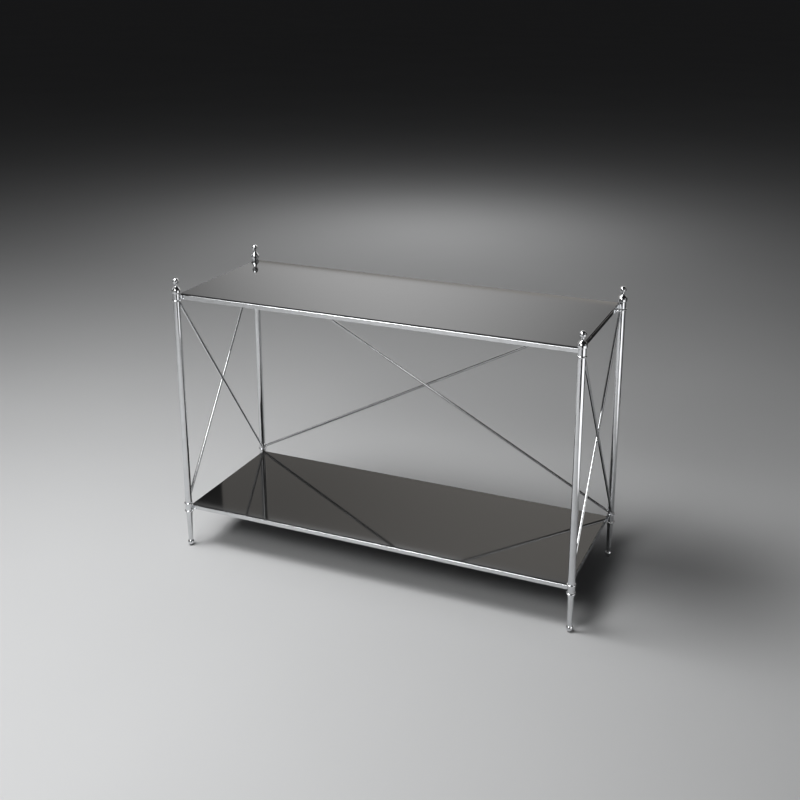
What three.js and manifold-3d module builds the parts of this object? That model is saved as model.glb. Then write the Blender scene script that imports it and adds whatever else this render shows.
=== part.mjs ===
// A chrome console table with two black glass shelves, in millimetres, +Z up.
// X runs along the table's length, the open front faces -Y, and the origin is on the floor
// under the middle of the table.
import * as THREE from "three";
import { mergeVertices } from "three/addons/utils/BufferGeometryUtils.js";
import Module from "manifold-3d";

const wasm = await Module();
wasm.setup();

// Driving dimensions.
const POST_SPACING_X = 1192; // post axis to post axis along the length
const POST_SPACING_Y = 430; // post axis to post axis across the depth
const TOP_SURFACE = 798.5; // height of the top glass above the floor
const SHELF_SURFACE = 135.5; // height of the shelf glass above the floor
const POST_R = 10; // outer radius of the post tube
const POST_WALL = 1.5;
const SLEEVE_PROUD = 0.4; // a coupler's sleeve outside the post's radius
const RING_PROUD = 2.7; // a coupler's ring outside its sleeve
const RING_HEIGHT = 5;
const SPIGOT_LENGTH = 15; // how far a coupler reaches into its post
const RAIL_SIZE = 12.5; // square rail tube, outside
const RAIL_WALL = 1.2;
const GLASS_THICKNESS = 4;
const GLASS_INSET = 0.5; // glass edge behind the rail's outer face
const GLASS_CORNER_R = 1.5;
const GLASS_ARRIS = 0.5; // ground edge of the glass
const BUMPER_THICKNESS = 0.5; // clear dots between rail and glass
const BUMPER_R = 4;
const BUMPER_FROM_END = 160; // from the tray's end to a dot on a long rail
const BRACE_R = 4; // crossed brace rods
const STUD_R = 3; // threaded studs in finials and feet
const STUD_DEPTH = 20; // stud hole in a coupler or foot
const FINIAL_STUD_DEPTH = 16;
const STUD_END_GAP = 1;
const FINIAL_HEIGHT = 46.5; // finial above the top glass
const FINIAL_BALL_R = 9.5;
const URN_R = 13.2; // widest part of the finial
const URN_FOOT_HEIGHT = 2; // plain foot of the urn, as wide as the sleeve below it
const URN_BELLY_BASE = 5; // the urn is widest between these two heights above the glass
const URN_BELLY_TOP = 10;
const URN_NECK_R = 5;
const URN_NECK_HEIGHT = 3; // plain neck under the ball
const FOOT_BALL_R = 10;
const ANKLE_R = 6.5; // thin end of the tapered foot, at the ball
const CALF_R = 9; // thick end of the tapered foot
const FOOT_FLARE_HEIGHT = 5; // from the calf out to the post's radius
const FOOT_HEAD_HEIGHT = 3; // plain head under the coupler
const GLIDE_THICKNESS = 2;
const GLIDE_R = 5;
const SMALL_CHAMFER = 0.5; // on studs and glides
const FIT_GAP = 0.3; // clearance where one piece enters or meets another
const RING_GAP = 0.5; // between a tray and the ring below it
const RING_ABOVE_SHELF = 3; // from the shelf glass to the ring above it
const BRACE_TO_RING = 2; // from a brace rod's end to the coupler ring

// Worked out from the driving dimensions.
const CORNERS = [
  { name: "front_left", sx: -1, sy: -1 },
  { name: "front_right", sx: 1, sy: -1 },
  { name: "back_left", sx: -1, sy: 1 },
  { name: "back_right", sx: 1, sy: 1 },
];
const SLEEVE_R = POST_R + SLEEVE_PROUD;
const TRAY_INSET = (SLEEVE_R + FIT_GAP) / Math.SQRT2; // tray corner just clears the sleeve
const TRAY_X = POST_SPACING_X / 2 - TRAY_INSET; // half size of a tray, outside
const TRAY_Y = POST_SPACING_Y / 2 - TRAY_INSET;
const TRAY_DEPTH = GLASS_THICKNESS + BUMPER_THICKNESS + RAIL_SIZE; // glass top to rail underside
const TOP_RING_TOP = TOP_SURFACE - TRAY_DEPTH - RING_GAP;
const TOP_COUPLER_BASE = TOP_RING_TOP - RING_HEIGHT;
const SHELF_COUPLER_TOP = SHELF_SURFACE + RING_ABOVE_SHELF + RING_HEIGHT;
const SHELF_COUPLER_BASE = SHELF_SURFACE - TRAY_DEPTH - RING_GAP - RING_HEIGHT;
const HOLE_R = STUD_R + FIT_GAP;
const ROUND = 24; // facets of a turned piece
const SMALL_ROUND = 12; // facets of a stud, bumper or brace rod

const colours = {
  chrome: { color: 0xc9ccd0, roughness: 0.08, metalness: 1 },
  glass: { color: 0x0b0b0c, roughness: 0.03, metalness: 0 },
  steel: { color: 0x9a9c9f, roughness: 0.4, metalness: 1 },
  plastic: { color: 0x2a2a2c, roughness: 0.6, metalness: 0 },
  bumper: { color: 0xd8dcda, roughness: 0.3, metalness: 0 },
};

const table = new THREE.Group();

// Adds one named piece, optionally standing at a place in plan.
function add(name, geometry, finish, x = 0, y = 0) {
  const mesh = new THREE.Mesh(geometry, new THREE.MeshStandardMaterial(colours[finish]));
  mesh.name = name;
  mesh.position.set(x, y, 0);
  table.add(mesh);
}

// A turned piece about Z from [radius, height] pairs that start and end on the axis.
function turned(profile, facets = ROUND) {
  const points = profile.map(([r, z]) => new THREE.Vector2(r, z));
  return new THREE.LatheGeometry(points, facets).rotateX(Math.PI / 2);
}

// Points of an arc in a profile, from one angle to another in degrees, the middle at [r, z].
function arc(r, z, radius, from, to, steps) {
  return Array.from({ length: steps + 1 }, (_, i) => {
    const angle = THREE.MathUtils.degToRad(from + ((to - from) * i) / steps);
    return [r + radius * Math.cos(angle), z + radius * Math.sin(angle)];
  });
}

// The rounded bead of a coupler ring, bottom to top: half an ellipse.
function bead(base) {
  const half = RING_HEIGHT / 2;
  const place = ([r, z]) => [SLEEVE_R + RING_PROUD * r, base + half + half * z];
  return arc(0, 0, 1, -90, 90, 4).map(place);
}

function asSolid(geometry) {
  const bare = geometry.clone();
  bare.deleteAttribute("normal");
  bare.deleteAttribute("uv");
  const merged = mergeVertices(bare, 1e-4);
  return new wasm.Manifold(
    new wasm.Mesh({
      numProp: 3,
      vertProperties: new Float32Array(merged.attributes.position.array),
      triVerts: new Uint32Array(merged.index.array),
    }),
  );
}

function asGeometry(solid) {
  const mesh = solid.getMesh();
  const geometry = new THREE.BufferGeometry();
  geometry.setAttribute("position", new THREE.BufferAttribute(mesh.vertProperties, 3));
  geometry.setIndex(new THREE.BufferAttribute(mesh.triVerts, 1));
  return geometry;
}

// A flat outline in plan, given height.
function slab(outline, base, height) {
  const shape = new THREE.Shape(outline.map(([x, y]) => new THREE.Vector2(x, y)));
  const options = { depth: height, bevelEnabled: false };
  return new THREE.ExtrudeGeometry(shape, options).translate(0, 0, base);
}

function postGeometry() {
  const inner = POST_R - POST_WALL;
  return turned([
    [inner, SHELF_COUPLER_TOP],
    [POST_R, SHELF_COUPLER_TOP],
    [POST_R, TOP_COUPLER_BASE],
    [inner, TOP_COUPLER_BASE],
    [inner, SHELF_COUPLER_TOP],
  ]);
}

// Joins foot to post: two rings with the shelf tray between them, and a spigot up the post.
function shelfCouplerGeometry() {
  const spigotR = POST_R - POST_WALL - FIT_GAP;
  return turned([
    [0, SHELF_COUPLER_BASE + STUD_DEPTH],
    [HOLE_R, SHELF_COUPLER_BASE + STUD_DEPTH],
    [HOLE_R, SHELF_COUPLER_BASE],
    ...bead(SHELF_COUPLER_BASE),
    ...bead(SHELF_COUPLER_TOP - RING_HEIGHT),
    [spigotR, SHELF_COUPLER_TOP],
    [spigotR, SHELF_COUPLER_TOP + SPIGOT_LENGTH],
    [0, SHELF_COUPLER_TOP + SPIGOT_LENGTH],
  ]);
}

// Joins post to finial: one ring under the top tray, and a spigot down the post.
function topCouplerGeometry() {
  const spigotR = POST_R - POST_WALL - FIT_GAP;
  return turned([
    [0, TOP_COUPLER_BASE - SPIGOT_LENGTH],
    [spigotR, TOP_COUPLER_BASE - SPIGOT_LENGTH],
    [spigotR, TOP_COUPLER_BASE],
    ...bead(TOP_COUPLER_BASE),
    [SLEEVE_R, TOP_SURFACE],
    [HOLE_R, TOP_SURFACE],
    [HOLE_R, TOP_SURFACE - STUD_DEPTH],
    [0, TOP_SURFACE - STUD_DEPTH],
  ]);
}

// The angle above a ball's middle, in degrees, where its surface has the given radius.
function latitude(ballR, radius) {
  return THREE.MathUtils.radToDeg(Math.acos(radius / ballR));
}

// Urn, neck and ball, turned in one. The urn's shoulder is an S curve from belly to neck.
function finialGeometry() {
  const ballZ = TOP_SURFACE + FINIAL_HEIGHT - FINIAL_BALL_R;
  const neckAngle = -latitude(FINIAL_BALL_R, URN_NECK_R);
  const ball = arc(0, ballZ, FINIAL_BALL_R, neckAngle, 90, 6);
  const bellyTop = TOP_SURFACE + URN_BELLY_TOP;
  const neckBase = ball[0][1] - URN_NECK_HEIGHT;
  const middle = (bellyTop + neckBase) / 2;
  const shoulder = new THREE.CubicBezierCurve(
    new THREE.Vector2(URN_R, bellyTop),
    new THREE.Vector2(URN_R, middle),
    new THREE.Vector2(URN_NECK_R, middle),
    new THREE.Vector2(URN_NECK_R, neckBase),
  );
  return turned([
    [0, TOP_SURFACE + FINIAL_STUD_DEPTH],
    [HOLE_R, TOP_SURFACE + FINIAL_STUD_DEPTH],
    [HOLE_R, TOP_SURFACE],
    [SLEEVE_R, TOP_SURFACE],
    [SLEEVE_R, TOP_SURFACE + URN_FOOT_HEIGHT],
    [URN_R, TOP_SURFACE + URN_BELLY_BASE],
    ...shoulder.getPoints(5).map((point) => point.toArray()),
    ...ball.slice(0, -1),
    [0, ballZ + FINIAL_BALL_R],
  ]);
}

// Ball foot and tapered leg, turned in one.
function footGeometry() {
  const ballZ = GLIDE_THICKNESS + Math.sqrt(FOOT_BALL_R ** 2 - GLIDE_R ** 2);
  const glideAngle = -latitude(FOOT_BALL_R, GLIDE_R);
  const ankleAngle = latitude(FOOT_BALL_R, ANKLE_R);
  const headBase = SHELF_COUPLER_BASE - FOOT_HEAD_HEIGHT;
  return turned([
    [0, GLIDE_THICKNESS],
    ...arc(0, ballZ, FOOT_BALL_R, glideAngle, ankleAngle, 6),
    [CALF_R, headBase - FOOT_FLARE_HEIGHT],
    [POST_R, headBase],
    [POST_R, SHELF_COUPLER_BASE],
    [HOLE_R, SHELF_COUPLER_BASE],
    [HOLE_R, SHELF_COUPLER_BASE - STUD_DEPTH],
    [0, SHELF_COUPLER_BASE - STUD_DEPTH],
  ]);
}

function glideGeometry() {
  return turned([
    [0, 0],
    [GLIDE_R - SMALL_CHAMFER, 0],
    [GLIDE_R, SMALL_CHAMFER],
    [GLIDE_R, GLIDE_THICKNESS],
    [0, GLIDE_THICKNESS],
  ]);
}

function studGeometry(base, top) {
  return turned(
    [
      [0, base],
      [STUD_R - SMALL_CHAMFER, base],
      [STUD_R, base + SMALL_CHAMFER],
      [STUD_R, top - SMALL_CHAMFER],
      [STUD_R - SMALL_CHAMFER, top],
      [0, top],
    ],
    SMALL_ROUND,
  );
}

// One side of a tray: a square tube with both ends mitred. Side 0 is the front, then right,
// back and left.
function railGeometry(side, base) {
  const along = side % 2 === 0 ? [TRAY_X, TRAY_Y] : [TRAY_Y, TRAY_X];
  const turn = ([x, y]) => [[x, y], [-y, x], [-x, -y], [y, -x]][side];
  const bar = (inset, thickness, reach) => [
    [-along[0] + inset - reach, -along[1] + inset],
    [along[0] - inset + reach, -along[1] + inset],
    [along[0] - inset - thickness + reach, -along[1] + inset + thickness],
    [-along[0] + inset + thickness - reach, -along[1] + inset + thickness],
  ];
  const bore = RAIL_SIZE - 2 * RAIL_WALL;
  const outside = slab(bar(0, RAIL_SIZE, 0).map(turn), base, RAIL_SIZE);
  const inside = slab(bar(RAIL_WALL, bore, RAIL_SIZE).map(turn), base + RAIL_WALL, bore);
  return asGeometry(asSolid(outside).subtract(asSolid(inside)));
}

// A glass panel with rounded corners and ground edges.
function glassGeometry(surface) {
  const x = TRAY_X - GLASS_INSET - GLASS_ARRIS;
  const y = TRAY_Y - GLASS_INSET - GLASS_ARRIS;
  const r = GLASS_CORNER_R;
  const shape = new THREE.Shape();
  shape.moveTo(-x + r, -y);
  shape.lineTo(x - r, -y);
  shape.absarc(x - r, -y + r, r, -Math.PI / 2, 0);
  shape.lineTo(x, y - r);
  shape.absarc(x - r, y - r, r, 0, Math.PI / 2);
  shape.lineTo(-x + r, y);
  shape.absarc(-x + r, y - r, r, Math.PI / 2, Math.PI);
  shape.lineTo(-x, -y + r);
  shape.absarc(-x + r, -y + r, r, Math.PI, Math.PI * 1.5);
  const glass = new THREE.ExtrudeGeometry(shape, {
    depth: GLASS_THICKNESS - 2 * GLASS_ARRIS,
    bevelThickness: GLASS_ARRIS,
    bevelSize: GLASS_ARRIS,
    bevelSegments: 1,
    curveSegments: 3,
  });
  return asGeometry(asSolid(glass.translate(0, 0, surface - GLASS_THICKNESS + GLASS_ARRIS)));
}

function bumperGeometry(base) {
  return turned(
    [
      [0, base],
      [BUMPER_R, base],
      [BUMPER_R, base + BUMPER_THICKNESS],
      [0, base + BUMPER_THICKNESS],
    ],
    SMALL_ROUND,
  );
}

// A brace rod between two post axes, notched round both posts. The rod's axis meets the post
// surfaces just above the shelf coupler and just below the top coupler.
function braceGeometry(from, to) {
  const run = from.distanceTo(to);
  const steep = Math.atan2(TOP_COUPLER_BASE - SHELF_COUPLER_TOP, run - 2 * POST_R);
  const clear = BRACE_R / Math.cos(steep) + BRACE_TO_RING;
  const low = SHELF_COUPLER_TOP + clear;
  const high = TOP_COUPLER_BASE - clear;
  const slope = (high - low) / (run - 2 * POST_R);
  const start = new THREE.Vector3(from.x, from.y, low - slope * POST_R);
  const end = new THREE.Vector3(to.x, to.y, high + slope * POST_R);
  const direction = end.clone().sub(start);
  const rod = new THREE.CylinderGeometry(BRACE_R, BRACE_R, direction.length(), SMALL_ROUND);
  rod.applyQuaternion(
    new THREE.Quaternion().setFromUnitVectors(
      new THREE.Vector3(0, 1, 0),
      direction.clone().normalize(),
    ),
  );
  const middle = start.clone().add(end).multiplyScalar(0.5);
  return rod.translate(middle.x, middle.y, middle.z);
}

// An upright cylinder on a post's axis.
function cornerCylinder(corner, radius, base, top) {
  const cylinder = new THREE.CylinderGeometry(radius, radius, top - base, ROUND);
  cylinder.rotateX(Math.PI / 2);
  cylinder.translate(
    (corner.sx * POST_SPACING_X) / 2,
    (corner.sy * POST_SPACING_Y) / 2,
    (base + top) / 2,
  );
  return asSolid(cylinder);
}

// The space that a post, its coupler rings and their fit gap take, to notch a rod with.
function cornerSpace(corner) {
  const rings = SLEEVE_R + RING_PROUD + FIT_GAP;
  return cornerCylinder(corner, POST_R + FIT_GAP, 0, TOP_SURFACE)
    .add(cornerCylinder(corner, rings, 0, SHELF_COUPLER_TOP + FIT_GAP))
    .add(cornerCylinder(corner, rings, TOP_COUPLER_BASE - FIT_GAP, TOP_SURFACE));
}

// Two rods side by side in one face of the table, crossing in the middle.
function addBrace(face, first, second, names) {
  const corners = [first, second].map((name) => CORNERS.find((c) => c.name === name));
  const axis = corners.map(
    (c) => new THREE.Vector2((c.sx * POST_SPACING_X) / 2, (c.sy * POST_SPACING_Y) / 2),
  );
  const across = axis[1].clone().sub(axis[0]).normalize();
  const beside = new THREE.Vector2(-across.y, across.x).multiplyScalar(BRACE_R + FIT_GAP / 2);
  const rods = [
    braceGeometry(axis[0].clone().add(beside), axis[1].clone().add(beside)),
    braceGeometry(axis[1].clone().sub(beside), axis[0].clone().sub(beside)),
  ];
  rods.forEach((rod, i) => {
    const notched = corners.reduce((solid, c) => solid.subtract(cornerSpace(c)), asSolid(rod));
    add(`${face}_brace_rod_${names[i]}`, asGeometry(notched), "chrome");
  });
}

for (const { name, sx, sy } of CORNERS) {
  const x = (sx * POST_SPACING_X) / 2;
  const y = (sy * POST_SPACING_Y) / 2;
  add(`post_${name}`, postGeometry(), "chrome", x, y);
  add(`top_coupler_${name}`, topCouplerGeometry(), "chrome", x, y);
  add(`shelf_coupler_${name}`, shelfCouplerGeometry(), "chrome", x, y);
  add(`finial_${name}`, finialGeometry(), "chrome", x, y);
  add(`foot_${name}`, footGeometry(), "chrome", x, y);
  add(`glide_${name}`, glideGeometry(), "plastic", x, y);
  const finialStudBase = TOP_SURFACE - STUD_DEPTH + STUD_END_GAP;
  const finialStudTop = TOP_SURFACE + FINIAL_STUD_DEPTH - STUD_END_GAP;
  add(`finial_stud_${name}`, studGeometry(finialStudBase, finialStudTop), "steel", x, y);
  const footStudBase = SHELF_COUPLER_BASE - STUD_DEPTH + STUD_END_GAP;
  const footStudTop = SHELF_COUPLER_BASE + STUD_DEPTH - STUD_END_GAP;
  add(`foot_stud_${name}`, studGeometry(footStudBase, footStudTop), "steel", x, y);
}

for (const [tray, surface] of [["top", TOP_SURFACE], ["shelf", SHELF_SURFACE]]) {
  const railBase = surface - TRAY_DEPTH;
  ["front", "right", "back", "left"].forEach((side, i) => {
    add(`${tray}_rail_${side}`, railGeometry(i, railBase), "chrome");
  });
  add(`${tray}_glass`, glassGeometry(surface), "glass");
  for (const { name, sx, sy } of CORNERS) {
    const x = sx * (TRAY_X - BUMPER_FROM_END);
    const y = sy * (TRAY_Y - RAIL_SIZE / 2);
    add(`${tray}_bumper_${name}`, bumperGeometry(railBase + RAIL_SIZE), "bumper", x, y);
  }
}

addBrace("back", "back_left", "back_right", ["rising", "falling"]);
addBrace("left", "front_left", "back_left", ["rising", "falling"]);
addBrace("right", "front_right", "back_right", ["rising", "falling"]);

export default table;
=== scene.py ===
"""A chrome console table with two black glass shelves, modelled round its fixed frame.

Everything is in metres, +Z up. X runs along the table, the open front faces -Y, and the origin is
on the floor under the middle of the table.
"""

import math

import bmesh
import bpy
from mathutils import Matrix, Vector


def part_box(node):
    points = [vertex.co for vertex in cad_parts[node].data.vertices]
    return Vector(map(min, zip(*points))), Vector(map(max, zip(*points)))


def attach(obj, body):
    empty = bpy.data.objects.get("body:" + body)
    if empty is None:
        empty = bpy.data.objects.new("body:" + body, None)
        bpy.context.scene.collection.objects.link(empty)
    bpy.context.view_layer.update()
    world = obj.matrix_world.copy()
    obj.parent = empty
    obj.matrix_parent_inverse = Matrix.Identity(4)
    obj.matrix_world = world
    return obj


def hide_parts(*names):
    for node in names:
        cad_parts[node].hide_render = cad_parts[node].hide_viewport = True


bl_info = {
    "name": "Console Table",
    "version": (1, 0, 0),
    "blender": (4, 5, 0),
    "location": "View3D > Sidebar > Console Table",
    "description": "Turned chrome posts, mitred glass trays and crossed braces of a console table",
    "category": "Add Mesh",
}

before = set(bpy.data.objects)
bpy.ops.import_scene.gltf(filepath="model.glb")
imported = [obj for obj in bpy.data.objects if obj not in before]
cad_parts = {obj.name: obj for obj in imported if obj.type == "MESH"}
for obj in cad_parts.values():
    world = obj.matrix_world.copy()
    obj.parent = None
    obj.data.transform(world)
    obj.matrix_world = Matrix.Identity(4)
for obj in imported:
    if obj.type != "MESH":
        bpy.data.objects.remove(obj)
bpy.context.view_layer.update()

CORNERS = ("front_left", "front_right", "back_left", "back_right")
SIDES = ("front", "right", "back", "left")
TRAYS = ("top", "shelf")
BRACES = {
    "back": ("back_left", "back_right"),
    "left": ("front_left", "back_left"),
    "right": ("front_right", "back_right"),
}
UP = Vector((0, 0, 1))
LATHE_STEPS = 64  # facets round the axis of a turned piece
SMALL_STEPS = 32  # facets round a glide, bumper or rod
BALL_STEPS = 28  # facets along the profile of a ball, from neck to pole
RING_STEPS = 12  # along the profile of a ring
SHOULDER_STEPS = 16  # along the urn's shoulder, from belly to neck
FLARE_STEPS = 6  # along the flare of the urn's foot
SMOOTH_ANGLE = math.radians(32)  # edges sharper than this stay crisp
FLAT_FIRST = 100  # weight that lets the largest faces set the shading
MERGE = 1e-6  # points nearer than this are one point
SEED = 0.001  # width of the square that shrinks to a profile's first point
UPRIGHT = 0.9  # an upright direction's Z is more than this
LEVEL = 0.1  # a level direction's Z is less than this


def post_axis(corner):
    """The middle of a post in plan."""
    low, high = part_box(f"post_{corner}")
    return Vector(((low.x + high.x) / 2, (low.y + high.y) / 2, 0))


def half_width(node):
    """Half of a node's size along X, which is a turned piece's largest radius."""
    low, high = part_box(node)
    return (high.x - low.x) / 2


# ---------------------------------------------------------------- sizes a user would change


def length(name, description, default):
    return bpy.props.FloatProperty(
        name=name,
        description=description,
        default=default,
        min=0.0,
        precision=4,
        subtype="DISTANCE",
        unit="LENGTH",
    )


def colour(name, description, default):
    return bpy.props.FloatVectorProperty(
        name=name,
        description=description,
        default=default,
        min=0.0,
        max=1.0,
        size=4,
        subtype="COLOR",
    )


def amount(name, description, default, high=1.0):
    return bpy.props.FloatProperty(
        name=name, description=description, default=default, min=0.0, max=high
    )


class TurnedSizes(bpy.types.PropertyGroup):
    """Sizes of the couplers, finials and feet, which are turned on a lathe."""

    sleeve_radius: length("Sleeve radius", "Coupler between its rings", 0.0104)
    ring_proud: length("Ring proud", "Ring outside the sleeve", 0.0027)
    ring_height: length("Ring height", "Height of one turned ring", 0.005)
    spigot_radius: length("Spigot radius", "Coupler inside its post", 0.0082)
    bore_radius: length("Bore radius", "Threaded hole for a stud", 0.0033)
    bore_depth: length("Bore depth", "Stud hole in a coupler or a foot", 0.020)
    finial_bore_depth: length("Finial bore depth", "Stud hole in a finial", 0.016)
    urn_foot: length("Urn foot", "Plain foot of the urn", 0.002)
    belly_base: length("Belly base", "Lower end of the urn's widest part", 0.005)
    belly_top: length("Belly top", "Upper end of the urn's widest part", 0.010)
    neck_radius: length("Neck radius", "Neck under the finial's ball", 0.005)
    neck_height: length("Neck height", "Straight part of the neck", 0.003)
    ball_radius: length("Finial ball radius", "Ball on top of the finial", 0.0095)
    ankle_radius: length("Ankle radius", "Thin end of the tapered foot", 0.0065)
    calf_radius: length("Calf radius", "Thick end of the tapered foot", 0.009)
    flare_height: length("Flare height", "From the calf out to the head", 0.005)
    head_height: length("Head height", "Plain head under the coupler", 0.003)
    edge_round: length("Edge round", "Rounding of turned corners", 0.00025)


class TubeSizes(bpy.types.PropertyGroup):
    """Sizes of the posts, rails and brace rods."""

    post_wall: length("Post wall", "Wall of the round post tube", 0.0015)
    rail_wall: length("Rail wall", "Wall of the square rail tube", 0.0012)
    rail_corner: length("Rail corner", "Corner radius of the square rail tube", 0.0014)
    brace_radius: length("Brace radius", "Radius of a crossed rod", 0.004)
    brace_to_ring: length("Brace to ring", "From a rod's end to the coupler ring", 0.002)
    brace_gap: length("Brace gap", "Between the two rods where they cross", 0.0003)


class GlassSizes(bpy.types.PropertyGroup):
    """Sizes of the glass panels and the small parts under load."""

    corner_radius: length("Corner radius", "Rounded corner of a glass panel", 0.002)
    arris: length("Arris", "Ground and polished edge of a glass panel", 0.0005)
    bumper_round: length("Bumper round", "Rounded rim of a clear bumper", 0.00012)
    glide_round: length("Glide round", "Rounded rim of a glide", 0.0005)
    glide_rim: length("Glide rim", "Flat rim round the recess under a glide", 0.00175)
    glide_recess: length("Glide recess", "Recess moulded under a glide", 0.0003)


class Finishes(bpy.types.PropertyGroup):
    """Colours and gloss of the finishes."""

    chrome: colour("Chrome", "Polished chrome plate", (0.74, 0.75, 0.765, 1.0))
    chrome_haze: colour("Chrome haze", "Chrome where it is wiped dull", (0.66, 0.665, 0.67, 1.0))
    glass: colour("Glass", "Black glass", (0.010, 0.010, 0.011, 1.0))
    glass_dust: colour("Dust", "Fine dust on the glass", (0.16, 0.16, 0.155, 1.0))
    glass_ior: amount("Glass IOR", "Refractive index, high for a mirror black", 2.3, 4.0)
    zinc: colour("Zinc", "Zinc-plated studs", (0.56, 0.575, 0.60, 1.0))
    plastic: colour("Plastic", "Moulded glides", (0.035, 0.035, 0.038, 1.0))
    bumper: colour("Bumper", "Clear soft bumpers", (0.86, 0.89, 0.87, 1.0))
    floor: colour("Floor", "Pale studio floor", (0.60, 0.605, 0.61, 1.0))


# ---------------------------------------------------------------- materials

THREAD_SCALE = 320.0  # thread lines on a stud
FELT_DARK = (0.004, 0.004, 0.004, 1.0)
FELT_PALE = (0.010, 0.010, 0.010, 1.0)
CHROME_RUNS = {  # how far the polishing lines are stretched along each axis
    "turned": (0.05, 0.05, 1.0),  # lathe lines go round the axis
    "upright": (1.0, 1.0, 0.03),
    "long_x": (0.03, 1.0, 1.0),
    "long_y": (1.0, 0.03, 1.0),
}


def shader(name, **values):
    """A new material with the plain values set on its Principled BSDF."""
    material = bpy.data.materials.new(name)
    material.use_nodes = True
    principled = material.node_tree.nodes["Principled BSDF"]
    for socket, value in values.items():
        principled.inputs[socket.replace("_", " ")].default_value = value
    return material, material.node_tree, principled


def mapped(tree, stretch=(1, 1, 1)):
    """Object coordinates, stretched so that a pattern runs along a piece."""
    place = tree.nodes.new("ShaderNodeTexCoord")
    mapping = tree.nodes.new("ShaderNodeMapping")
    mapping.inputs["Scale"].default_value = stretch
    tree.links.new(place.outputs["Object"], mapping.inputs["Vector"])
    return mapping.outputs["Vector"]


def noise(tree, vector, scale, detail=3.0):
    """Cloudy noise, finer as the scale goes up."""
    node = tree.nodes.new("ShaderNodeTexNoise")
    node.inputs["Scale"].default_value = scale
    node.inputs["Detail"].default_value = detail
    tree.links.new(vector, node.inputs["Vector"])
    return node.outputs["Fac"]


def spread(tree, value, low, high, start=0.3, end=0.7):
    """Maps the useful part of a noise onto a range."""
    node = tree.nodes.new("ShaderNodeMapRange")
    node.inputs["From Min"].default_value = start
    node.inputs["From Max"].default_value = end
    node.inputs["To Min"].default_value = low
    node.inputs["To Max"].default_value = high
    tree.links.new(value, node.inputs["Value"])
    return node.outputs["Result"]


def tints(tree, value, first, second):
    """Blends from the first colour to the second as the value goes from 0 to 1."""
    node = tree.nodes.new("ShaderNodeMix")
    node.data_type = "RGBA"
    node.inputs["A"].default_value = first
    node.inputs["B"].default_value = second
    tree.links.new(value, node.inputs["Factor"])
    return node.outputs["Result"]


def shaded(tint, share):
    """A colour made darker or paler all over."""
    return tuple(share * part for part in tint[:3]) + (1.0,)


def relief(tree, height, distance, strength=1.0, normal=None):
    """Bump of that depth in metres, laid over another bump where one is given."""
    node = tree.nodes.new("ShaderNodeBump")
    node.inputs["Distance"].default_value = distance
    node.inputs["Strength"].default_value = strength
    tree.links.new(height, node.inputs["Height"])
    if normal is not None:
        tree.links.new(normal, node.inputs["Normal"])
    return node.outputs["Normal"]


def chrome(name, finishes, stretch):
    """Polished chrome: fine polishing lines along the piece, wiped haze and a soft ripple."""
    material, tree, principled = shader(name, Metallic=1.0)
    smears = noise(tree, mapped(tree), scale=38.0, detail=4.0)
    lines = noise(tree, mapped(tree, stretch), scale=520.0, detail=2.0)
    ripple = noise(tree, mapped(tree), scale=14.0, detail=1.0)
    hazy = spread(tree, smears, low=0.0, high=1.0, start=0.42, end=0.78)
    tint = tints(tree, hazy, tuple(finishes.chrome), tuple(finishes.chrome_haze))
    gloss = spread(tree, smears, low=0.025, high=0.085)
    soft = relief(tree, ripple, distance=0.0006, strength=0.35)
    fine = relief(tree, lines, distance=0.000012, strength=0.6, normal=soft)
    tree.links.new(tint, principled.inputs["Base Color"])
    tree.links.new(gloss, principled.inputs["Roughness"])
    tree.links.new(fine, principled.inputs["Normal"])
    return material


def black_glass(finishes):
    """Mirror-black glass with faint wiped smears and a little fine dust."""
    material, tree, principled = shader("black_glass", IOR=finishes.glass_ior)
    smears = noise(tree, mapped(tree, stretch=(1.0, 2.2, 1.0)), scale=7.0, detail=5.0)
    specks = noise(tree, mapped(tree), scale=1400.0, detail=1.0)
    waves = noise(tree, mapped(tree), scale=5.0, detail=1.0)
    dusty = spread(tree, specks, low=0.0, high=0.55, start=0.70, end=0.82)
    tint = tints(tree, dusty, tuple(finishes.glass), tuple(finishes.glass_dust))
    gloss = spread(tree, smears, low=0.012, high=0.055)
    soft = relief(tree, waves, distance=0.0002, strength=0.25)
    tree.links.new(tint, principled.inputs["Base Color"])
    tree.links.new(gloss, principled.inputs["Roughness"])
    tree.links.new(soft, principled.inputs["Normal"])
    return material


def zinc(finishes):
    """Zinc-plated steel with rolled thread lines."""
    material, tree, principled = shader("zinc_plate", Metallic=1.0)
    spangle = noise(tree, mapped(tree), scale=420.0)
    mottled = spread(tree, spangle, low=0.0, high=1.0)
    tint = tints(tree, mottled, tuple(finishes.zinc), shaded(finishes.zinc, 0.8))
    gloss = spread(tree, spangle, low=0.30, high=0.48)
    thread = tree.nodes.new("ShaderNodeTexWave")
    thread.bands_direction = "Z"
    thread.inputs["Scale"].default_value = THREAD_SCALE
    tree.links.new(mapped(tree), thread.inputs["Vector"])
    turns = relief(tree, thread.outputs["Fac"], distance=0.0003, strength=0.8)
    tree.links.new(tint, principled.inputs["Base Color"])
    tree.links.new(gloss, principled.inputs["Roughness"])
    tree.links.new(turns, principled.inputs["Normal"])
    return material


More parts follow.
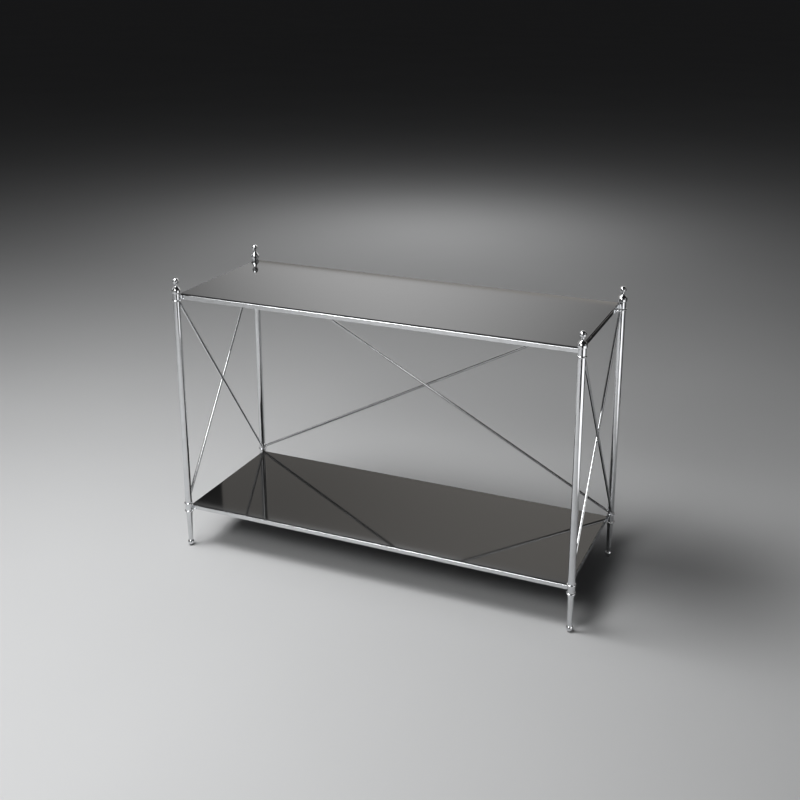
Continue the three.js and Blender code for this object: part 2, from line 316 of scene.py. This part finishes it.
def moulded_plastic(finishes):
    """Matt black nylon with a fine moulded grain and a scuffed tint."""
    material, tree, principled = shader("moulded_plastic", IOR=1.5)
    grain = noise(tree, mapped(tree), scale=2600.0, detail=2.0)
    scuffs = noise(tree, mapped(tree), scale=260.0, detail=4.0)
    scuffed = spread(tree, scuffs, low=0.0, high=0.6, start=0.52, end=0.80)
    tint = tints(tree, scuffed, tuple(finishes.plastic), shaded(finishes.plastic, 3.2))
    gloss = spread(tree, scuffs, low=0.48, high=0.68)
    pitted = relief(tree, grain, distance=0.00005, strength=0.5)
    tree.links.new(tint, principled.inputs["Base Color"])
    tree.links.new(gloss, principled.inputs["Roughness"])
    tree.links.new(pitted, principled.inputs["Normal"])
    return material


def clear_bumper(finishes):
    """Clear soft plastic, a little cloudy."""
    material, tree, principled = shader("clear_bumper", IOR=1.46, Transmission_Weight=0.8)
    cloud = noise(tree, mapped(tree), scale=700.0, detail=2.0)
    cloudy = spread(tree, cloud, low=0.0, high=1.0)
    tint = tints(tree, cloudy, tuple(finishes.bumper), shaded(finishes.bumper, 0.82))
    gloss = spread(tree, cloud, low=0.18, high=0.34)
    tree.links.new(tint, principled.inputs["Base Color"])
    tree.links.new(gloss, principled.inputs["Roughness"])
    return material


def studio_floor(finishes):
    """Pale matt floor with a very faint mottle."""
    material, tree, principled = shader("studio_floor", Specular_IOR_Level=0.0)
    mottle = noise(tree, mapped(tree), scale=0.7)
    mottled = spread(tree, mottle, low=0.0, high=1.0)
    tint = tints(tree, mottled, tuple(finishes.floor), shaded(finishes.floor, 0.955))
    gloss = spread(tree, mottle, low=0.62, high=0.72)
    tree.links.new(tint, principled.inputs["Base Color"])
    tree.links.new(gloss, principled.inputs["Roughness"])
    return material


def black_felt(_finishes):
    """Black felt of the cards that shade the chrome."""
    material, tree, principled = shader("black_felt", Roughness=0.95)
    nap = noise(tree, mapped(tree), scale=300.0, detail=2.0)
    tint = tints(tree, nap, FELT_DARK, FELT_PALE)
    tree.links.new(tint, principled.inputs["Base Color"])
    return material


def finish(name):
    """The material of that name, made the first time it is asked for."""
    known = bpy.data.materials.get(name)
    if known is not None:
        return known
    finishes = bpy.context.scene.table_finishes
    if name.startswith("chrome_"):
        return chrome(name, finishes, CHROME_RUNS[name.removeprefix("chrome_")])
    makers = {
        "black_glass": black_glass,
        "zinc_plate": zinc,
        "moulded_plastic": moulded_plastic,
        "clear_bumper": clear_bumper,
        "studio_floor": studio_floor,
        "black_felt": black_felt,
    }
    return makers[name](finishes)


# ---------------------------------------------------------------- modelling helpers


def only(piece):
    """Makes one object the whole selection."""
    bpy.ops.object.select_all(action="DESELECT")
    piece.select_set(True)
    bpy.context.view_layer.objects.active = piece


def new_primitive(add, **sizes):
    """Adds a primitive with nothing else selected and returns it, unturned and unscaled."""
    bpy.ops.object.select_all(action="DESELECT")
    add(**sizes)
    bpy.ops.object.transform_apply(location=True, rotation=True, scale=True)
    return bpy.context.object


def pick(piece, kind, test):
    """In edit mode, selects only the faces or edges that pass the test."""
    bpy.ops.mesh.select_mode(type=kind)
    bpy.ops.mesh.select_all(action="DESELECT")
    mesh = bmesh.from_edit_mesh(piece.data)
    for part in mesh.faces if kind == "FACE" else mesh.edges:
        if test(part):
            part.select_set(True)
    bmesh.update_edit_mesh(piece.data)


def rise(edge):
    """How upright an edge is, from 0 where it is level to 1."""
    return abs((edge.verts[1].co - edge.verts[0].co).normalized().z)


def face_outwards():
    """In edit mode, closes the seams and turns every face outwards."""
    bpy.ops.mesh.select_all(action="SELECT")
    bpy.ops.mesh.remove_doubles(threshold=MERGE)
    bpy.ops.mesh.normals_make_consistent(inside=False)


def round_edges(piece, width, segments=2):
    """Rounds every hard edge with an applied bevel, then smooths the piece."""
    only(piece)
    bpy.ops.object.modifier_add(type="BEVEL")
    bevel = piece.modifiers[-1]
    bevel.width = width
    bevel.segments = segments
    bevel.limit_method = "ANGLE"
    bevel.angle_limit = SMOOTH_ANGLE
    bpy.ops.object.modifier_apply(modifier=bevel.name)
    smooth(piece)


def smooth(piece):
    """Smooths the round parts and keeps the flat and straight ones true."""
    only(piece)
    bpy.ops.object.shade_smooth_by_angle(angle=SMOOTH_ANGLE)
    bpy.ops.object.modifier_add(type="WEIGHTED_NORMAL")
    weighted = piece.modifiers[-1]
    weighted.keep_sharp = True
    weighted.weight = FLAT_FIRST
    bpy.ops.object.modifier_apply(modifier=weighted.name)


def turn_on_lathe(profile):
    """Spins a profile of (radius, height) points round the Z axis into one closed piece."""
    radius, height = profile[0]
    piece = new_primitive(
        bpy.ops.mesh.primitive_plane_add, size=SEED, location=(radius, 0, height)
    )
    bpy.ops.object.mode_set(mode="EDIT")
    bpy.ops.mesh.select_mode(type="VERT")
    bpy.ops.mesh.select_all(action="SELECT")
    bpy.ops.mesh.merge(type="CENTER")
    for before, after in zip(profile, profile[1:]):
        step = (after[0] - before[0], 0, after[1] - before[1])
        bpy.ops.mesh.extrude_region_move(TRANSFORM_OT_translate={"value": step})
    bpy.ops.mesh.select_all(action="SELECT")
    bpy.ops.mesh.spin(steps=LATHE_STEPS, angle=math.tau, center=(0, 0, 0), axis=UP)
    face_outwards()
    bpy.ops.object.mode_set(mode="OBJECT")
    return piece


def arc(middle, radius, start, end, steps):
    """Points of an arc about a point on the axis, from one angle above the level to another."""
    angles = (start + (end - start) * i / steps for i in range(steps + 1))
    return [(radius * math.cos(a), middle + radius * math.sin(a)) for a in angles]


def bead(base, sizes):
    """A coupler's rounded ring, half an ellipse from its base upwards."""
    half = sizes.ring_height / 2
    turn = arc(0, 1, -math.pi / 2, math.pi / 2, RING_STEPS)
    return [
        (sizes.sleeve_radius + sizes.ring_proud * out, base + half + half * up)
        for out, up in turn
    ]


def flare(inner, outer, base, height):
    """A quarter turn of an ellipse, out from a straight side."""
    angles = (math.pi / 2 * i / FLARE_STEPS for i in range(FLARE_STEPS + 1))
    return [
        (inner + (outer - inner) * math.sin(a), base + height * (1 - math.cos(a)))
        for a in angles
    ]


def shoulder(outer, inner, base, top):
    """A soft S from a wide belly in to a narrow neck."""
    shares = [i / SHOULDER_STEPS for i in range(SHOULDER_STEPS + 1)]
    return [
        (
            inner + (outer - inner) * (1 + math.cos(math.pi * share)) / 2,
            base + (top - base) * share,
        )
        for share in shares
    ]


def install(piece, name, node, material):
    """Names a finished piece and puts it in the frame in place of its plain node."""
    piece.name = name
    piece.data.name = name
    piece.data.materials.clear()
    piece.data.materials.append(finish(material))
    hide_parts(node)
    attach(piece, "root")


def copy_of(pattern, place):
    """A copy with a mesh of its own, standing at the place."""
    only(pattern)
    bpy.ops.object.duplicate(linked=False)
    bpy.ops.transform.translate(value=place)
    bpy.ops.object.transform_apply(location=True, rotation=True, scale=True)
    return bpy.context.object


def set_at_corners(pattern, name, node, material):
    """Puts a copy of a pattern, modelled on the Z axis, at each post."""
    for corner in CORNERS:
        piece = copy_of(pattern, post_axis(corner))
        install(piece, f"{name}_{corner}", f"{node}_{corner}", material)
    bpy.data.objects.remove(pattern)


# ---------------------------------------------------------------- the pieces


class TABLE_OT_posts(bpy.types.Operator):
    """Model the four round post tubes"""

    bl_idname = "console_table.posts"
    bl_label = "Posts"

    def execute(self, context):
        tube = context.scene.table_tubes
        low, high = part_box("post_front_left")
        outer = half_width("post_front_left")
        inner = outer - tube.post_wall
        section = [
            (inner, low.z),
            (outer, low.z),
            (outer, high.z),
            (inner, high.z),
            (inner, low.z),
        ]
        pattern = turn_on_lathe(section)
        round_edges(pattern, context.scene.table_turned.edge_round)
        set_at_corners(pattern, "post_tube", "post", "chrome_upright")
        return {"FINISHED"}


class TABLE_OT_shelf_couplers(bpy.types.Operator):
    """Model the couplers between the feet and the posts, with two rings each"""

    bl_idname = "console_table.shelf_couplers"
    bl_label = "Shelf Couplers"

    def execute(self, context):
        sizes = context.scene.table_turned
        low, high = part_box("shelf_coupler_front_left")
        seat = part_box("post_front_left")[0].z
        profile = [
            (0, low.z + sizes.bore_depth),
            (sizes.bore_radius, low.z + sizes.bore_depth),
            (sizes.bore_radius, low.z),
            *bead(low.z, sizes),
            *bead(seat - sizes.ring_height, sizes),
            (sizes.spigot_radius, seat),
            (sizes.spigot_radius, high.z),
            (0, high.z),
        ]
        pattern = turn_on_lathe(profile)
        round_edges(pattern, sizes.edge_round)
        set_at_corners(
            pattern, "ringed_shelf_coupler", "shelf_coupler", "chrome_turned"
        )
        return {"FINISHED"}


class TABLE_OT_top_couplers(bpy.types.Operator):
    """Model the couplers between the posts and the finials, with one ring each"""

    bl_idname = "console_table.top_couplers"
    bl_label = "Top Couplers"

    def execute(self, context):
        sizes = context.scene.table_turned
        low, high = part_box("top_coupler_front_left")
        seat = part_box("post_front_left")[1].z
        profile = [
            (0, low.z),
            (sizes.spigot_radius, low.z),
            (sizes.spigot_radius, seat),
            *bead(seat, sizes),
            (sizes.sleeve_radius, high.z),
            (sizes.bore_radius, high.z),
            (sizes.bore_radius, high.z - sizes.bore_depth),
            (0, high.z - sizes.bore_depth),
        ]
        pattern = turn_on_lathe(profile)
        round_edges(pattern, sizes.edge_round)
        set_at_corners(
            pattern, "ringed_top_coupler", "top_coupler", "chrome_turned"
        )
        return {"FINISHED"}


class TABLE_OT_finials(bpy.types.Operator):
    """Model the finials: an urn, a neck and a ball turned in one"""

    bl_idname = "console_table.finials"
    bl_label = "Finials"

    def execute(self, context):
        sizes = context.scene.table_turned
        low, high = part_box("finial_front_left")
        belly = half_width("finial_front_left")
        ball = arc(
            high.z - sizes.ball_radius,
            sizes.ball_radius,
            -math.acos(sizes.neck_radius / sizes.ball_radius),
            math.pi / 2,
            BALL_STEPS,
        )
        neck_base = ball[0][1] - sizes.neck_height
        shoulder_base = low.z + sizes.belly_top
        foot_top = low.z + sizes.urn_foot
        flare_height = low.z + sizes.belly_base - foot_top
        profile = [
            (0, low.z + sizes.finial_bore_depth),
            (sizes.bore_radius, low.z + sizes.finial_bore_depth),
            (sizes.bore_radius, low.z),
            (sizes.sleeve_radius, low.z),
            *flare(sizes.sleeve_radius, belly, foot_top, flare_height),
            *shoulder(belly, sizes.neck_radius, shoulder_base, neck_base),
            *ball[:-1],
            (0, high.z),
        ]
        pattern = turn_on_lathe(profile)
        round_edges(pattern, sizes.edge_round)
        set_at_corners(pattern, "urn_finial", "finial", "chrome_turned")
        return {"FINISHED"}


class TABLE_OT_feet(bpy.types.Operator):
    """Model the tapered feet, each with a ball at the floor"""

    bl_idname = "console_table.feet"
    bl_label = "Feet"

    def execute(self, context):
        sizes = context.scene.table_turned
        low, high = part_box("foot_front_left")
        ball_radius = half_width("foot_front_left")
        flat = half_width("glide_front_left")
        head = half_width("post_front_left")
        middle = low.z + math.sqrt(ball_radius**2 - flat**2)
        ball = arc(
            middle,
            ball_radius,
            -math.acos(flat / ball_radius),
            math.acos(sizes.ankle_radius / ball_radius),
            BALL_STEPS,
        )
        head_base = high.z - sizes.head_height
        profile = [
            (0, low.z),
            *ball,
            (sizes.calf_radius, head_base - sizes.flare_height),
            (head, head_base),
            (head, high.z),
            (sizes.bore_radius, high.z),
            (sizes.bore_radius, high.z - sizes.bore_depth),
            (0, high.z - sizes.bore_depth),
        ]
        pattern = turn_on_lathe(profile)
        round_edges(pattern, sizes.edge_round)
        set_at_corners(pattern, "tapered_foot", "foot", "chrome_turned")
        return {"FINISHED"}


class TABLE_OT_glides(bpy.types.Operator):
    """Model the plastic glides under the feet"""

    bl_idname = "console_table.glides"
    bl_label = "Glides"

    def execute(self, context):
        sizes = context.scene.table_glass
        low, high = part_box("glide_front_left")
        radius = half_width("glide_front_left")
        pattern = new_primitive(
            bpy.ops.mesh.primitive_cylinder_add,
            vertices=SMALL_STEPS,
            radius=radius,
            depth=high.z - low.z,
            location=(0, 0, (low.z + high.z) / 2),
        )
        bpy.ops.object.mode_set(mode="EDIT")
        pick(pattern, "FACE", lambda face: face.normal.z < -UPRIGHT)
        bpy.ops.mesh.inset(thickness=sizes.glide_rim, depth=0)
        bpy.ops.mesh.extrude_region_move(
            TRANSFORM_OT_translate={"value": (0, 0, sizes.glide_recess)}
        )
        face_outwards()
        inside = radius - sizes.glide_rim / 2

        def on_outer_rim(edge):
            return rise(edge) < LEVEL and min(v.co.xy.length for v in edge.verts) > inside

        pick(pattern, "EDGE", on_outer_rim)
        bpy.ops.mesh.bevel(offset=sizes.glide_round, segments=3, affect="EDGES")
        bpy.ops.object.mode_set(mode="OBJECT")
        smooth(pattern)
        set_at_corners(pattern, "floor_glide", "glide", "moulded_plastic")
        return {"FINISHED"}


class TABLE_OT_studs(bpy.types.Operator):
    """Give the threaded studs inside the finials and feet their zinc finish"""

    bl_idname = "console_table.studs"
    bl_label = "Studs"

    def execute(self, context):
        for corner in CORNERS:
            for kind in ("finial_stud", "foot_stud"):
                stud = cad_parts[f"{kind}_{corner}"]
                stud.material_slots[0].material = finish("zinc_plate")
        return {"FINISHED"}


def rail_tube(node, tube):
    """A square tube with rounded corners, cut to a mitre at both ends."""
    low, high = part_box(node)
    along = 0 if high.x - low.x > high.y - low.y else 1
    across = 1 - along
    size = high.z - low.z
    spare = size  # the blank is this much longer at each end than the finished rail
    start = (low + high) / 2
    start[along] = low[along] - spare
    turn = (0, math.pi / 2, 0) if along == 0 else (math.pi / 2, 0, 0)
    piece = new_primitive(
        bpy.ops.mesh.primitive_plane_add, size=size, location=start, rotation=turn
    )
    bpy.ops.object.mode_set(mode="EDIT")
    bpy.ops.mesh.select_all(action="SELECT")
    bpy.ops.mesh.bevel(offset=tube.rail_corner, segments=5, affect="VERTICES")
    bpy.ops.mesh.inset(thickness=tube.rail_wall)
    bpy.ops.mesh.delete(type="FACE")
    bpy.ops.mesh.select_all(action="SELECT")
    reach = Vector()
    reach[along] = high[along] - low[along] + 2 * spare
    bpy.ops.mesh.extrude_region_move(TRANSFORM_OT_translate={"value": reach})
    outside = low[across] if low[across] < 0 else high[across]
    for end, outward in ((low[along], -1), (high[along], 1)):
        corner = Vector()
        corner[along], corner[across] = end, outside
        normal = Vector()
        normal[along], normal[across] = outward, -math.copysign(1, outside)
        bpy.ops.mesh.select_all(action="SELECT")
        bpy.ops.mesh.bisect(plane_co=corner, plane_no=normal, clear_outer=True, use_fill=False)
        bpy.ops.mesh.bridge_edge_loops()
    face_outwards()
    bpy.ops.object.mode_set(mode="OBJECT")
    smooth(piece)
    return piece


class TABLE_OT_rails(bpy.types.Operator):
    """Model the mitred rails that carry the glass"""

    bl_idname = "console_table.rails"
    bl_label = "Rails"

    def execute(self, context):
        for tray in TRAYS:
            for side in SIDES:
                piece = rail_tube(f"{tray}_rail_{side}", context.scene.table_tubes)
                run = "long_x" if side in ("front", "back") else "long_y"
                name = f"{tray}_square_rail_{side}"
                node = f"{tray}_rail_{side}"
                install(piece, name, node, f"chrome_{run}")
        return {"FINISHED"}


class TABLE_OT_glass(bpy.types.Operator):
    """Model the two black glass panels, with rounded corners and polished edges"""

    bl_idname = "console_table.glass"
    bl_label = "Glass"

    def execute(self, context):
        sizes = context.scene.table_glass
        for tray in TRAYS:
            low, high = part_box(f"{tray}_glass")
            piece = new_primitive(
                bpy.ops.mesh.primitive_cube_add,
                size=1,
                location=(low + high) / 2,
                scale=high - low,
            )
            bpy.ops.object.mode_set(mode="EDIT")
            pick(piece, "EDGE", lambda edge: rise(edge) > UPRIGHT)
            bpy.ops.mesh.bevel(offset=sizes.corner_radius, segments=6, affect="EDGES")
            pick(piece, "EDGE", lambda edge: rise(edge) < LEVEL)
            bpy.ops.mesh.bevel(offset=sizes.arris, segments=2, affect="EDGES")
            face_outwards()
            bpy.ops.object.mode_set(mode="OBJECT")
            smooth(piece)
            install(piece, f"{tray}_glass_panel", f"{tray}_glass", "black_glass")
        return {"FINISHED"}


class TABLE_OT_bumpers(bpy.types.Operator):
    """Model the clear bumpers between the rails and the glass"""

    bl_idname = "console_table.bumpers"
    bl_label = "Bumpers"

    def execute(self, context):
        sizes = context.scene.table_glass
        low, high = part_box("top_bumper_front_left")
        pattern = new_primitive(
            bpy.ops.mesh.primitive_cylinder_add,
            vertices=SMALL_STEPS,
            radius=half_width("top_bumper_front_left"),
            depth=high.z - low.z,
            location=(0, 0, (high.z - low.z) / 2),
        )
        bpy.ops.object.mode_set(mode="EDIT")
        pick(pattern, "EDGE", lambda edge: rise(edge) < LEVEL and edge.verts[0].co.z > 0)
        bpy.ops.mesh.bevel(offset=sizes.bumper_round, segments=3, affect="EDGES")
        face_outwards()
        bpy.ops.object.mode_set(mode="OBJECT")
        smooth(pattern)
        for tray in TRAYS:
            for corner in CORNERS:
                node = f"{tray}_bumper_{corner}"
                low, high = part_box(node)
                piece = copy_of(pattern, ((low.x + high.x) / 2, (low.y + high.y) / 2, low.z))
                install(piece, f"{tray}_clear_dot_{corner}", node, "clear_bumper")
        bpy.data.objects.remove(pattern)
        return {"FINISHED"}


def brace_line(first, second, tube):
    """The ends of a rod's centre line, on two post axes. It passes just clear of the rings."""
    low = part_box(f"post_{first}")[0].z
    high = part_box(f"post_{second}")[1].z
    start, end = post_axis(first), post_axis(second)
    post = half_width(f"post_{first}")
    run = (end - start).length - 2 * post
    clear = tube.brace_radius / math.cos(math.atan2(high - low, run)) + tube.brace_to_ring
    slope = (high - low - 2 * clear) / run
    start.z = low + clear - slope * post
    end.z = high - clear + slope * post
    return start, end


def cut_round_post(piece, corner):
    """Fits the end of a rod to the round of a post."""
    low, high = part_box(f"post_{corner}")
    cutter = new_primitive(
        bpy.ops.mesh.primitive_cylinder_add,
        vertices=LATHE_STEPS,
        radius=half_width(f"post_{corner}"),
        depth=2 * (high.z - low.z),
        location=(low + high) / 2,
    )
    only(piece)
    bpy.ops.object.modifier_add(type="BOOLEAN")
    cut = piece.modifiers[-1]
    cut.operation = "DIFFERENCE"
    cut.solver = "EXACT"
    cut.object = cutter
    bpy.ops.object.modifier_apply(modifier=cut.name)
    bpy.data.objects.remove(cutter)


class TABLE_OT_braces(bpy.types.Operator):
    """Model the crossed rods at the back and both ends"""

    bl_idname = "console_table.braces"
    bl_label = "Braces"

    def execute(self, context):
        tube = context.scene.table_tubes
        for face, corners in BRACES.items():
            across = (post_axis(corners[1]) - post_axis(corners[0])).normalized()
            beside = UP.cross(across) * (tube.brace_radius + tube.brace_gap / 2)
            runs = {
                "rising": (corners[0], corners[1], beside),
                "falling": (corners[1], corners[0], -beside),
            }
            for run, (first, second, shift) in runs.items():
                start, end = brace_line(first, second, tube)
                reach = end - start
                piece = new_primitive(
                    bpy.ops.mesh.primitive_cylinder_add,
                    vertices=SMALL_STEPS,
                    radius=tube.brace_radius,
                    depth=reach.length,
                    location=(start + end) / 2 + shift,
                    rotation=reach.to_track_quat("Z", "Y").to_euler(),
                )
                for corner in corners:
                    cut_round_post(piece, corner)
                smooth(piece)
                grain = "chrome_long_x" if face == "back" else "chrome_long_y"
                node = f"{face}_brace_rod_{run}"
                install(piece, f"{face}_cross_rod_{run}", node, grain)
        return {"FINISHED"}


# ---------------------------------------------------------------- stage

FLOOR_RADIUS = 150.0
WORLD = (0.014, 0.014, 0.0145, 1.0)  # almost dark, so the soft lights do the work
CAMERA_PLACE = (1.2419, -2.7587, 1.7051)
CAMERA_TURN = (73.73, 0.491, 21.97)  # tilt, roll and heading in degrees
CAMERA_LENS = 50.13  # millimetres, on a sensor 36 mm wide
CAMERA_SHIFT = (-0.05, -0.1375)

# Soft lights. name: (place, tilt from straight down, heading, width and height, watts)
SOFTBOXES = {
    "key": ((-1.2, -0.7, 3.1), 18.0, -88.0, (1.9, 1.9), 240),
    "fill": ((-0.35, -2.7, 2.5), 20.0, 0.0, (1.9, 1.9), 120),
    "backdrop": ((-1.55, 3.9, 1.6), 0.0, 0.0, (1.3, 1.3), 30),
}
SOFTBOX_RIM = (0.2, 0.2)  # brightness at the rim of a softbox, as a share of its middle
MIDDLE = 0.5  # of a light's own coordinates, which go from 0 to 1
# Upright panels that only polished surfaces show. name: (middle, heading, width and height,
# radiance at the middle, shares of it at the sides and at the top and bottom)
PANELS = {
    "back_high": ((-0.75, 1.6, 2.0), 180.0, (3.2, 1.53), 1.42, (0.18, 1.0)),
    "back_low": ((0.1, 1.6, 0.99), 180.0, (3.6, 0.49), 0.88, (0.52, 1.0)),
    "front": ((-1.0, -4.6, 2.2), 0.0, (6.0, 3.4), 1.1, (0.0, 0.0)),
    "left": ((-4.6, -0.3, 2.2), -90.0, (5.0, 3.4), 1.2, (0.0, 0.0)),
    "right": ((4.6, -0.3, 2.2), 90.0, (4.0, 3.4), 0.9, (0.0, 0.0)),
    "right_card": ((1.40, -0.5, 0.32), 90.0, (1.6, 0.62), 2.0, (0.1, 0.6)),
}
WHITE = (1.0, 1.0, 1.0)
PANEL_TINTS = {"back_low": (1.0, 0.955, 0.895)}  # panels that aren't white
# Dark upright cards that only polished surfaces show. name: (middle, heading, width and height)
CARDS = {
    "right_back": ((1.3, 1.2, 0.5), -30.0, (1.7, 1.0)),
    "front": ((0.98, -1.75, 0.45), 25.0, (0.16, 0.9)),
}


def add_softbox(name, place, turn, size, power, shares):
    """A rectangular soft light that the camera doesn't see."""
    bpy.ops.object.light_add(type="AREA", location=place, rotation=turn)
    lamp = bpy.context.object
    lamp.name = f"softbox_{name}"
    lamp.visible_camera = False
    lamp.data.shape = "RECTANGLE"
    lamp.data.size, lamp.data.size_y = size
    lamp.data.energy = power
    fade_to_rim(lamp.data, shares)
    return lamp


def add_card(name, place, heading, size):
    """A dark felt card that shows only in reflections."""
    card = new_primitive(
        bpy.ops.mesh.primitive_plane_add,
        size=1,
        location=place,
        rotation=(math.radians(90), 0, math.radians(heading)),
        scale=(*size, 1),
    )
    card.name = f"card_{name}"
    card.data.materials.append(finish("black_felt"))
    card.visible_camera = card.visible_diffuse = card.visible_shadow = False


def fade_to_rim(light, shares):
    """Makes a soft light brightest at its middle. The shares are across and up."""
    light.use_nodes = True
    tree = light.node_tree
    place = tree.nodes.new("ShaderNodeNewGeometry")
    split = tree.nodes.new("ShaderNodeSeparateXYZ")
    both = tree.nodes.new("ShaderNodeMath")
    both.operation = "MULTIPLY"
    tree.links.new(place.outputs["Parametric"], split.inputs[0])
    for index, share in enumerate(shares):
        fold = tree.nodes.new("ShaderNodeMath")
        fold.operation = "PINGPONG"
        fold.inputs[1].default_value = MIDDLE
        fade = tree.nodes.new("ShaderNodeMapRange")
        fade.interpolation_type = "SMOOTHSTEP"
        fade.inputs["From Max"].default_value = MIDDLE
        fade.inputs["To Min"].default_value = share
        tree.links.new(split.outputs[index], fold.inputs[0])
        tree.links.new(fold.outputs[0], fade.inputs["Value"])
        tree.links.new(fade.outputs["Result"], both.inputs[index])
    tree.links.new(both.outputs[0], tree.nodes["Emission"].inputs["Strength"])


class TABLE_OT_stage(bpy.types.Operator):
    """Set the pale floor, the soft studio light and the camera"""

    bl_idname = "console_table.stage"
    bl_label = "Stage"

    def execute(self, context):
        scene = context.scene
        floor = new_primitive(
            bpy.ops.mesh.primitive_circle_add,
            vertices=LATHE_STEPS,
            radius=FLOOR_RADIUS,
            fill_type="NGON",
        )
        floor.name = "studio_floor"
        floor.data.materials.append(finish("studio_floor"))
        for name, (place, tilt, heading, size, power) in SOFTBOXES.items():
            turn = (math.radians(tilt), 0, math.radians(heading))
            add_softbox(name, place, turn, size, power, SOFTBOX_RIM)
        for name, (place, heading, size, radiance, shares) in PANELS.items():
            turn = (math.radians(90), 0, math.radians(heading))
            power = radiance * math.pi * size[0] * size[1]
            panel = add_softbox(name, place, turn, size, power, shares)
            panel.visible_diffuse = False
            panel.data.color = PANEL_TINTS.get(name, WHITE)
        for name, (place, heading, size) in CARDS.items():
            add_card(name, place, heading, size)
        tilt, roll, heading = (math.radians(turn) for turn in CAMERA_TURN)
        stance = Matrix.Rotation(heading, 3, "Z") @ Matrix.Rotation(tilt, 3, "X")
        stance = stance @ Matrix.Rotation(roll, 3, "Z")
        bpy.ops.object.camera_add(location=CAMERA_PLACE, rotation=stance.to_euler())
        camera = context.object
        camera.data.lens = CAMERA_LENS
        camera.data.shift_x, camera.data.shift_y = CAMERA_SHIFT
        scene.camera = camera
        scene.view_settings.view_transform = "Standard"
        world = bpy.data.worlds.new("studio")
        world.use_nodes = True
        world.node_tree.nodes["Background"].inputs["Color"].default_value = WORLD
        scene.world = world
        return {"FINISHED"}


class TABLE_PT_sidebar(bpy.types.Panel):
    """Lists the steps that build the table"""

    bl_idname = "TABLE_PT_sidebar"
    bl_label = "Console Table"
    bl_space_type = "VIEW_3D"
    bl_region_type = "UI"
    bl_category = "Console Table"

    def draw(self, context):
        column = self.layout.column(align=True)
        for step in OPERATORS:
            column.operator(step.bl_idname)
        for group in PROPERTY_GROUPS:
            settings = getattr(context.scene, group)
            box = self.layout.box()
            for name in settings.__annotations__:
                box.prop(settings, name)


PROPERTY_GROUPS = {
    "table_turned": TurnedSizes,
    "table_tubes": TubeSizes,
    "table_glass": GlassSizes,
    "table_finishes": Finishes,
}
OPERATORS = (
    TABLE_OT_stage,
    TABLE_OT_posts,
    TABLE_OT_shelf_couplers,
    TABLE_OT_top_couplers,
    TABLE_OT_finials,
    TABLE_OT_feet,
    TABLE_OT_glides,
    TABLE_OT_studs,
    TABLE_OT_rails,
    TABLE_OT_glass,
    TABLE_OT_bumpers,
    TABLE_OT_braces,
)


def register():
    for cls in (*PROPERTY_GROUPS.values(), *OPERATORS, TABLE_PT_sidebar):
        bpy.utils.register_class(cls)
    for name, group in PROPERTY_GROUPS.items():
        setattr(bpy.types.Scene, name, bpy.props.PointerProperty(type=group))


def unregister():
    for name in PROPERTY_GROUPS:
        delattr(bpy.types.Scene, name)
    for cls in reversed((*PROPERTY_GROUPS.values(), *OPERATORS, TABLE_PT_sidebar)):
        bpy.utils.unregister_class(cls)


def main():
    register()
    bpy.ops.console_table.stage()
    bpy.ops.console_table.posts()
    bpy.ops.console_table.shelf_couplers()
    bpy.ops.console_table.top_couplers()
    bpy.ops.console_table.finials()
    bpy.ops.console_table.feet()
    bpy.ops.console_table.glides()
    bpy.ops.console_table.studs()
    bpy.ops.console_table.rails()
    bpy.ops.console_table.glass()
    bpy.ops.console_table.bumpers()
    bpy.ops.console_table.braces()


if __name__ == "__main__":
    main()
